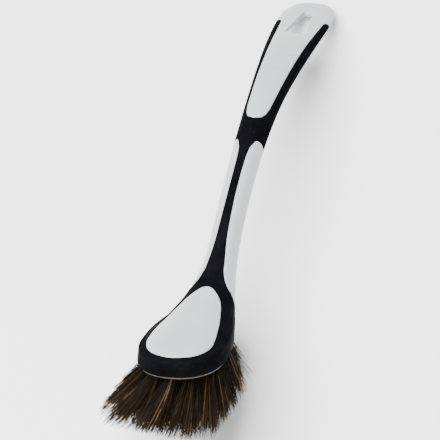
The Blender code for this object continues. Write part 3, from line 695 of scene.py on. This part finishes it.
class Surface:
    """A new material: its Principled shader and the nodes that feed it."""

    def __init__(self, name):
        self.material = bpy.data.materials.new(name)
        self.material.use_nodes = True
        self.tree = self.material.node_tree
        self.shader = self.tree.nodes["Principled BSDF"]
        self.link = self.tree.links.new

    def feed(self, socket, value):
        """Links a socket to another one, or sets its plain value."""
        if isinstance(value, bpy.types.NodeSocket):
            self.link(value, socket)
        else:
            socket.default_value = value

    def add(self, kind, *inputs, **values):
        """A new node. Its values are options or sockets by name, then sockets in order."""
        node = self.tree.nodes.new("ShaderNode" + kind)
        for key, value in values.items():
            if hasattr(node, key):
                setattr(node, key, value)
            else:
                self.feed(node.inputs[key.replace("_", " ")], value)
        for socket, value in zip(node.inputs, inputs):
            self.feed(socket, value)
        return node

    def give(self, name, value):
        self.feed(self.shader.inputs[name], value)

    def noise(self, place, scale, detail=3.0):
        node = self.add("TexNoise", Vector=place, Scale=scale, Detail=detail, Roughness=0.5)
        return node.outputs["Fac"]

    def spread(self, source, low=0, high=1, start=0.35, end=0.65):
        """A value stretched from one range to another."""
        node = self.add("MapRange", source, From_Min=start, From_Max=end, To_Min=low, To_Max=high)
        return node.outputs["Result"]

    def blend(self, factor, first, second):
        """Mix of two colours, each a socket or a plain colour."""
        node = self.add("Mix", factor, data_type="RGBA")
        for socket, colour in ((node.inputs[6], first), (node.inputs[7], second)):
            self.feed(socket, (*colour, 1.0) if isinstance(colour, tuple) else colour)
        return node.outputs[2]

    def place(self, *stretch):
        """Object coordinates turned back to the brush's own length, and stretched."""
        node = self.add("Mapping", self.add("TexCoord").outputs["Object"],
                        Rotation=(0, -math.radians(REST_PITCH), 0))
        if stretch:
            node = self.add("Mapping", node.outputs["Vector"], Scale=stretch)
        return node.outputs["Vector"]

    def bump(self, height, strength, distance, **below):
        """Small relief, on top of another one where its Normal is given."""
        node = self.add("Bump", Height=height, Strength=strength, Distance=distance, **below)
        return node.outputs["Normal"]


def moulded_white():
    """Satin white plastic with a faint flow mottle, fine grain and hairline scuffs."""
    colour = tuple(settings().colours.white)
    look = Surface("white moulded plastic")
    place = look.place()
    mottle = look.spread(look.noise(place, scale=60.0))
    tone = look.blend(mottle, tinted(colour, 0.975), tinted(colour, 1.015))
    scuffs = look.noise(look.place(1, 14, 14), scale=260.0, detail=2.0)
    worn = look.spread(scuffs, start=0.63, end=0.72)
    look.give("Base Color", look.blend(worn, tone, tinted(colour, 0.93)))
    smears = look.spread(look.noise(place, scale=150.0, detail=4.0), low=0.27, high=0.38)
    rougher = look.spread(scuffs, high=0.12, start=0.6, end=0.75)
    rough = look.add("Math", smears, rougher, operation="ADD")
    look.give("Roughness", rough.outputs["Value"])
    grain = look.noise(place, scale=2600.0, detail=2.0)
    grain = look.bump(grain, strength=0.22, distance=0.00004)
    waves = look.noise(place, scale=170.0, detail=2.0)
    look.give("Normal", look.bump(waves, strength=0.16, distance=0.00022, Normal=grain))
    look.give("Subsurface Weight", 0.04)
    look.give("Subsurface Radius", (0.002, 0.002, 0.002))
    return look.material


def soft_black():
    """Satin black soft plastic with a fine grain, smeared sheen and a little dust."""
    colour = tuple(settings().colours.black)
    look = Surface("black soft plastic")
    place = look.place()
    mottle = look.spread(look.noise(place, scale=90.0))
    tone = look.blend(mottle, tinted(colour, 0.75), tinted(colour, 1.35))
    dust = look.noise(place, scale=1500.0, detail=1.0)
    dust = look.spread(dust, high=0.35, start=0.74, end=0.80)
    look.give("Base Color", look.blend(dust, tone, (0.10, 0.09, 0.08)))
    smear = look.noise(look.place(1, 3, 3), scale=120.0, detail=4.0)
    look.give("Roughness", look.spread(smear, low=0.34, high=0.48))
    grain = look.noise(place, scale=3200.0, detail=2.0)
    look.give("Normal", look.bump(grain, strength=0.30, distance=0.00004))
    look.give("IOR", 1.02)
    return look.material


def block_plastic():
    """Plain brown plastic of the bristle block, dusty between the tufts."""
    colour = tuple(settings().colours.block)
    look = Surface("bristle block plastic")
    place = look.place()
    tone = look.spread(look.noise(place, scale=420.0, detail=4.0))
    look.give("Base Color", look.blend(tone, tinted(colour, 0.7), tinted(colour, 1.5)))
    look.give("Roughness", look.spread(look.noise(place, scale=900.0), low=0.45, high=0.62))
    grain = look.noise(place, scale=1800.0)
    look.give("Normal", look.bump(grain, strength=0.3, distance=0.00006))
    return look.material


def bristle_fibre():
    """Brown fibres: each has its own tone, with painted shade darkening it at its root and a painted
    highlight paling it at its tip.
    """
    colours = settings().colours
    dark, light = tuple(colours.fibre_dark), tuple(colours.fibre_light)
    look = Surface("brown bristle fibre")
    tone = look.add("Attribute", attribute_name="tone").outputs["Fac"]
    along = look.add("Attribute", attribute_name="along").outputs["Fac"]
    middle = tuple((1 - MIDDLE_LIGHT) * a + MIDDLE_LIGHT * b for a, b in zip(dark, light))
    ramp = look.add("ValToRGB")
    ramp.color_ramp.elements[0].color = (*dark, 1.0)
    ramp.color_ramp.elements[1].color = (*light, 1.0)
    ramp.color_ramp.elements.new(MIDDLE_TONE).color = (*middle, 1.0)
    look.link(tone, ramp.inputs["Fac"])
    speckle = look.noise(look.place(), scale=420.0, detail=2.0)
    speckle = look.spread(speckle, low=0.82, high=1.15)
    # Painted shade and highlight: each fibre's colour is darkened near its root, where fibres pack
    # under the rim, and brightened toward its tip
    painted_light_along = look.spread(along, low=0.35, high=1.6, start=0, end=1)
    bright = look.add("Math", painted_light_along, speckle, operation="MULTIPLY")
    scaled = look.add("VectorMath", ramp.outputs["Color"], operation="SCALE",
                      Scale=bright.outputs["Value"])
    look.give("Base Color", scaled.outputs["Vector"])
    look.give("Roughness", look.spread(tone, low=0.55, high=0.40, start=0, end=1))
    look.give("Specular IOR Level", 0.03)
    return look.material


def anchor_steel():
    """Drawn flat wire."""
    colour = tuple(settings().colours.steel)
    look = Surface("drawn anchor wire")
    drawn = look.noise(look.place(1, 30, 30), scale=300.0, detail=2.0)
    tone = look.spread(drawn)
    look.give("Base Color", look.blend(tone, tinted(colour, 0.8), tinted(colour, 1.1)))
    look.give("Roughness", look.spread(drawn, low=0.25, high=0.45))
    look.give("Metallic", 1.0)
    return look.material


class DISHBRUSH_OT_handle_core(bpy.types.Operator):
    """Models the hard white moulding: head shell, neck, grip core and handle end"""
    bl_idname = "dish_brush.handle_core"
    bl_label = "Hard core"

    def execute(self, context):
        form = BrushForm()
        skin = form.trim.skin
        core = grow_body("hard_core", form, skin)
        add_heel(core, form, skin)
        outer = grow_body("outer_form", form, 0)
        combine(outer, "INTERSECT", all_windows(form, 0))
        combine(core, "UNION", outer)
        combine(core, "DIFFERENCE", below_base(form))
        inset = skin + form.head.wall
        depth = form.head.block + form.trim.seam
        combine(core, "DIFFERENCE", add_prism("recess", form.base_outline(inset), -depth, depth))
        combine(core, "DIFFERENCE", add_hole(form))
        round_edges(core, form.trim.edge)
        lay_down(core)
        hand_over(core, moulded_white(), "handle_core")
        return {"FINISHED"}


class DISHBRUSH_OT_soft_grip(bpy.types.Operator):
    """Models the black overmould: rim, neck stripe, band, grip pad and side bands"""
    bl_idname = "dish_brush.soft_grip"
    bl_label = "Soft overmould"

    def execute(self, context):
        form = BrushForm()
        gap = form.trim.seam
        grip = grow_body("soft_overmould", form, 0)
        add_heel(grip, form, 0)
        inside = grow_body("inside", form, form.trim.skin - gap)
        add_heel(inside, form, form.trim.skin - gap)
        combine(grip, "DIFFERENCE", inside)
        combine(grip, "DIFFERENCE", all_windows(form, gap))
        combine(grip, "DIFFERENCE", below_base(form))
        round_edges(grip, form.trim.edge)
        lay_down(grip)
        hand_over(grip, soft_black(), "soft_grip")
        return {"FINISHED"}


def tuft_places(form):
    """Places of the tufts on the block: a ring along its edge and one inside it."""
    own = settings().bristles
    edge = form.trim.skin + form.head.wall + own.fit + own.edge + own.fit + own.radius
    ring = form.base_outline(edge, 12)
    ring.append(ring[0])
    middle = (min(x for x, _ in ring) + max(x for x, _ in ring)) / 2
    places = []
    for count, long_share, wide_share in ((own.outer, 1, 1), (own.inner, *INNER_RING)):
        xs = [middle + (x - middle) * long_share for x, _ in ring]
        ys = [y * wide_share for _, y in ring]
        lengths = np.append(0, np.cumsum(np.hypot(np.diff(xs), np.diff(ys))))
        for tuft in range(count):
            at = tuft / count * lengths[-1]
            places.append((float(np.interp(at, lengths, xs)), float(np.interp(at, lengths, ys))))
    return places


class DISHBRUSH_OT_bristle_block(bpy.types.Operator):
    """Models the plate that carries the tufts, with its lip and holes"""
    bl_idname = "dish_brush.bristle_block"
    bl_label = "Bristle block"

    def execute(self, context):
        form = BrushForm()
        own = settings().bristles
        low = -form.head.lip - BLOCK_SEAM
        block = add_prism("block", form.base_outline(BLOCK_SEAM), low, -BLOCK_SEAM)
        inset = form.trim.skin + form.head.wall + own.fit
        plate = add_prism("plate", form.base_outline(inset), low / 2, form.head.block)
        combine(block, "UNION", plate)
        deselect()
        for place in tuft_places(form):
            bpy.ops.mesh.primitive_cylinder_add(
                vertices=24, radius=own.radius + own.fit, depth=2 * own.hole, location=(*place, low))
            combine(block, "DIFFERENCE", bpy.context.object)
        round_edges(block, form.trim.edge)
        lay_down(block)
        hand_over(block, block_plastic(), "bristle_block")
        return {"FINISHED"}


def fibre_pattern(levels=7, sides=3):
    """One fibre modelled once: corners as (share along it, angle round it), and its faces."""
    deselect()
    bpy.ops.mesh.primitive_cylinder_add(vertices=sides, radius=1, depth=1)
    fibre = bpy.context.object
    bpy.ops.object.mode_set(mode="EDIT")
    select_edges(fibre, lambda edge: abs(edge.verts[0].co.z - edge.verts[1].co.z) > 0.5)
    bpy.ops.mesh.subdivide(number_cuts=levels - 2)
    bpy.ops.object.mode_set(mode="OBJECT")
    corners = np.array([vert.co[:] for vert in fibre.data.vertices])
    faces = [tuple(face.vertices) for face in fibre.data.polygons]
    bpy.data.objects.remove(fibre, do_unlink=True)
    return corners[:, 2] + 0.5, np.arctan2(corners[:, 1], corners[:, 0]), faces


class BristleSet:
    """Grows the tufts of fibres, each fibre a copy of one that is modelled once."""

    def __init__(self):
        self.form, self.own = BrushForm(), settings().bristles
        self.rng = np.random.default_rng(self.own.seed)
        self.share, self.angle, self.faces = fibre_pattern()
        self.levels = np.unique(self.share)

    def splayed(self, roots, offsets, share):
        """Where fibres that leave the block at their roots are, at a share of their lengths."""
        own, head = self.own, self.form.head
        middle = head.length / 2
        ahead = (roots[:, 0] - middle) / middle
        lean_x = ahead * np.where(ahead < 0, own.toe_splay, own.heel_splay) + own.set_along
        lean_y = roots[:, 1] / (head.width / 2) * own.side_splay + own.set_across
        drop = np.sqrt(np.maximum(own.length ** 2 - lean_x ** 2 - lean_y ** 2, 0)) * share
        bend = np.abs(share) ** BEND_CURVE
        x = roots[:, 0] + lean_x * bend + offsets[:, 0] * share
        y = roots[:, 1] + lean_y * bend + offsets[:, 1] * share
        return np.stack([x, y, -drop], axis=-1)

    def tuft(self, name, place):
        own, rng, count = self.own, self.rng, self.own.fibres
        spots = np.sqrt(rng.random(count)) * own.radius * ROOT_REACH
        turns = rng.random(count) * 2 * np.pi
        offsets = np.stack([spots * np.cos(turns), spots * np.sin(turns)], axis=-1)
        spots = np.sqrt(rng.random(own.clumps)) * own.radius
        turns = rng.random(own.clumps) * 2 * np.pi
        clumps = np.stack([spots * np.cos(turns), spots * np.sin(turns)], axis=-1)
        gap = np.linalg.norm(offsets[:, None] - clumps[None], axis=2)
        mine = np.argmin(gap + rng.random(gap.shape) * own.radius * CLUMP_MIX, axis=1)
        roots = offsets + np.array(place)
        spread_out = offsets * OWN_SPREAD + clumps[mine] * CLUMP_SPREAD
        spread_out += rng.normal(0, own.radius * SCATTER, (count, 2))
        stray = rng.random(count) < STRAY_SHARE
        spread_out[stray] += rng.normal(0, own.radius * STRAY_SCATTER, (stray.sum(), 2))
        bow = rng.normal(0, own.radius * BOW_SCATTER, (count, 2))
        reach = LONGEST - rng.random(count) ** 2 * own.scatter / own.length
        reach = self.fit_in_box(roots, spread_out, bow, reach)
        return self.mesh(name, self.lines(roots, spread_out, bow, reach, self.levels), mine)

    def lines(self, roots, spread_out, bow, reach, levels):
        """Middle lines of the fibres, (fibre, level, 3), from inside the hole to the tip."""
        own = self.own
        rows = []
        for level in levels:
            along = (level * (1 + own.root / own.length) - own.root / own.length) * reach
            inside = np.minimum(along, 0) * own.length
            free = np.maximum(along, 0)
            row = self.splayed(roots, spread_out, free)
            row[:, :2] += bow * (np.sin(np.pi * free) * BOW)[:, None]
            row[:, 2] -= self.form.head.lip + BLOCK_SEAM + inside
            rows.append(row)
        return np.stack(rows, axis=1)

    def fit_in_box(self, roots, spread_out, bow, reach):
        """Trims and straightens fibres that would leave the brush's box."""
        turn = np.array(Matrix.Rotation(math.radians(REST_PITCH), 3, "Y"))
        low, high = (np.array(corner) for corner in CAD_BOX)
        room = self.own.thickness * 2
        low, high = low + room, high - room
        for _ in range(FIT_ROUNDS):
            line = self.lines(roots, spread_out, bow, reach, FIT_LEVELS)
            line = line @ turn.T + np.array(TOE_PLACE)
            out = ((line < low) | (line > high)).any(axis=(1, 2))
            reach = np.where(out, reach * FIT_TRIM, reach)
            for offset in (spread_out, bow):
                offset[out] *= FIT_STRAIGHTEN
        return reach

    def mesh(self, name, lines, mine):
        """All fibres of a tuft as one mesh, with their tones and the share along each."""
        rng, share, count, size = self.rng, self.share, len(lines), len(self.share)
        ahead = np.gradient(lines, axis=1)
        ahead /= np.linalg.norm(ahead, axis=2, keepdims=True)
        side = np.cross(ahead, np.array((0.0, 1.0, 0.0)))
        side /= np.linalg.norm(side, axis=2, keepdims=True)
        other = np.cross(ahead, side)
        level = np.searchsorted(self.levels, share)
        twist = rng.random(count)[:, None] * 2 * np.pi + self.angle[None]
        thick = self.own.thickness * (THINNEST + THICKNESS_RANGE * rng.random(count))[:, None]
        thick = thick * (1 - TAPER * share[None] ** 2)
        corners = (lines[:, level] + side[:, level] * (thick * np.cos(twist))[..., None]
                   + other[:, level] * (thick * np.sin(twist))[..., None])
        mesh = bpy.data.meshes.new(name)
        all_faces = [tuple(corner + fibre * size for corner in face) for fibre in range(count)
                     for face in self.faces]
        mesh.from_pydata(corners.reshape(-1, 3), [], all_faces)
        least, more = CLUMP_TONE
        tone = rng.beta(*TONE_CURVE, count) * (least + more * rng.random(self.own.clumps)[mine])
        for label, values in (("tone", np.repeat(tone, size)), ("along", np.tile(share, count))):
            attribute = mesh.attributes.new(label, "FLOAT", "POINT")
            attribute.data.foreach_set("value", values.astype(np.float32))
        piece = bpy.data.objects.new(name, mesh)
        bpy.context.collection.objects.link(piece)
        pick(piece)
        bpy.ops.object.mode_set(mode="EDIT")
        leave_outwards()
        bpy.ops.object.shade_smooth()
        lay_down(piece)
        return piece


class DISHBRUSH_OT_bristles(bpy.types.Operator):
    """Models the tufts of fibres, each fibre a copy of one, bent to its own place"""
    bl_idname = "dish_brush.bristles"
    bl_label = "Bristles"

    def execute(self, context):
        bristles = BristleSet()
        material = bristle_fibre()
        for number, place in enumerate(tuft_places(bristles.form), 1):
            piece = bristles.tuft("bristles_%02d" % number, place)
            hand_over(piece, material, "bristle_tuft_%02d" % number)
        return {"FINISHED"}


class DISHBRUSH_OT_anchors(bpy.types.Operator):
    """Gives the wire anchors in the tuft holes their steel"""
    bl_idname = "dish_brush.anchors"
    bl_label = "Tuft anchors"

    def execute(self, context):
        steel = anchor_steel()
        for name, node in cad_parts.items():
            if name.startswith("tuft_anchor"):
                node.data.materials.clear()
                node.data.materials.append(steel)
        return {"FINISHED"}


class DISHBRUSH_OT_stage(bpy.types.Operator):
    """Sets the pale floor, the soft light and the camera"""
    bl_idname = "dish_brush.stage"
    bl_label = "Stage"

    def execute(self, context):
        own = settings().stage
        self.floor()
        self.camera(own)
        self.light("key_light", *KEY_LIGHT, own.key)
        self.light("fill_light", *FILL_LIGHT, own.fill)
        world = bpy.data.worlds.new("studio")
        bpy.context.scene.world = world
        world.use_nodes = True
        backdrop = world.node_tree.nodes["Background"]
        backdrop.inputs["Color"].default_value = (1.0, 1.0, 1.0, 1.0)
        backdrop.inputs["Strength"].default_value = own.sky
        return {"FINISHED"}

    def floor(self):
        deselect()
        bpy.ops.mesh.primitive_plane_add(size=FLOOR_SIZE)
        floor = bpy.context.object
        floor.name = "floor"
        look = Surface("pale floor")
        colour = tuple(settings().colours.floor)
        place = look.add("TexCoord").outputs["Object"]
        tone = look.spread(look.noise(place, scale=3.0))
        look.give("Base Color", look.blend(tone, tinted(colour, 0.99), colour))
        look.give("Roughness", 0.9)
        floor.data.materials.append(look.material)

    def camera(self, own):
        """Camera at the photograph's angle, square to its picture plane."""
        turn = Matrix.Rotation(math.radians(REST_PITCH), 3, "Y")
        right, up = (turn @ Vector(axis).normalized() for axis in CAMERA_AXES)
        back = right.cross(up).normalized()
        up = back.cross(right)
        data = bpy.data.cameras.new("camera")
        camera = bpy.data.objects.new("camera", data)
        bpy.context.scene.collection.objects.link(camera)
        per_metre = IMAGE_SIZE / own.frame_width
        off_right = (IMAGE_SIZE / 2 - TOE_PIXEL[0]) / per_metre
        off_down = (IMAGE_SIZE / 2 - TOE_PIXEL[1]) / per_metre
        toe = Vector(TOE_PLACE)
        aim = toe + right * off_right - up * off_down
        # The aim is slid along the view to the depth of the brush's middle
        low, high = CAD_BOX
        middle = (Vector(low) + Vector(high)) / 2
        aim += back * (middle - aim).dot(back)
        camera.matrix_world = Matrix.Translation(aim + back * own.distance) @ Matrix(
            (right, up, back)).transposed().to_4x4()
        data.sensor_width = SENSOR_WIDTH
        data.lens = data.sensor_width * own.distance / own.frame_width
        data.clip_start, data.clip_end = own.frame_width / 10, own.distance * 10
        bpy.context.scene.camera = camera

    def light(self, name, place, size, power):
        data = bpy.data.lights.new(name, "AREA")
        data.shape = "DISK"
        data.size = size
        data.energy = power
        lamp = bpy.data.objects.new(name, data)
        bpy.context.scene.collection.objects.link(lamp)
        lamp.location = place
        lamp.rotation_euler = (-Vector(place)).to_track_quat("-Z", "Y").to_euler()
        lamp.visible_camera = False


OPERATORS = (DISHBRUSH_OT_handle_core, DISHBRUSH_OT_soft_grip, DISHBRUSH_OT_bristle_block,
             DISHBRUSH_OT_bristles, DISHBRUSH_OT_anchors, DISHBRUSH_OT_stage)


class DISHBRUSH_PT_sidebar(bpy.types.Panel):
    """Lists the pieces of the dish brush"""
    bl_idname = "DISHBRUSH_PT_sidebar"
    bl_label = "Dish Brush"
    bl_space_type = "VIEW_3D"
    bl_region_type = "UI"
    bl_category = "Dish Brush"

    def draw(self, context):
        column = self.layout.column(align=True)
        for operator in OPERATORS:
            column.operator(operator.bl_idname)
        for title in ("Bristles", "Colours", "Stage"):
            group = getattr(context.scene.dish_brush, title.lower())
            box = self.layout.box()
            box.label(text=title)
            for name in group.__annotations__:
                box.prop(group, name)


CLASSES = (DishBrushHead, DishBrushHandle, DishBrushTrim, DishBrushBristles, DishBrushColours,
           DishBrushStage, DishBrushSettings, *OPERATORS, DISHBRUSH_PT_sidebar)


def register():
    for item in CLASSES:
        bpy.utils.register_class(item)
    bpy.types.Scene.dish_brush = PointerProperty(type=DishBrushSettings)


def unregister():
    del bpy.types.Scene.dish_brush
    for item in reversed(CLASSES):
        bpy.utils.unregister_class(item)


def main():
    register()
    bpy.ops.dish_brush.stage()
    bpy.ops.dish_brush.handle_core()
    bpy.ops.dish_brush.soft_grip()
    bpy.ops.dish_brush.bristle_block()
    bpy.ops.dish_brush.bristles()
    bpy.ops.dish_brush.anchors()
    deselect()


if __name__ == "__main__":
    main()
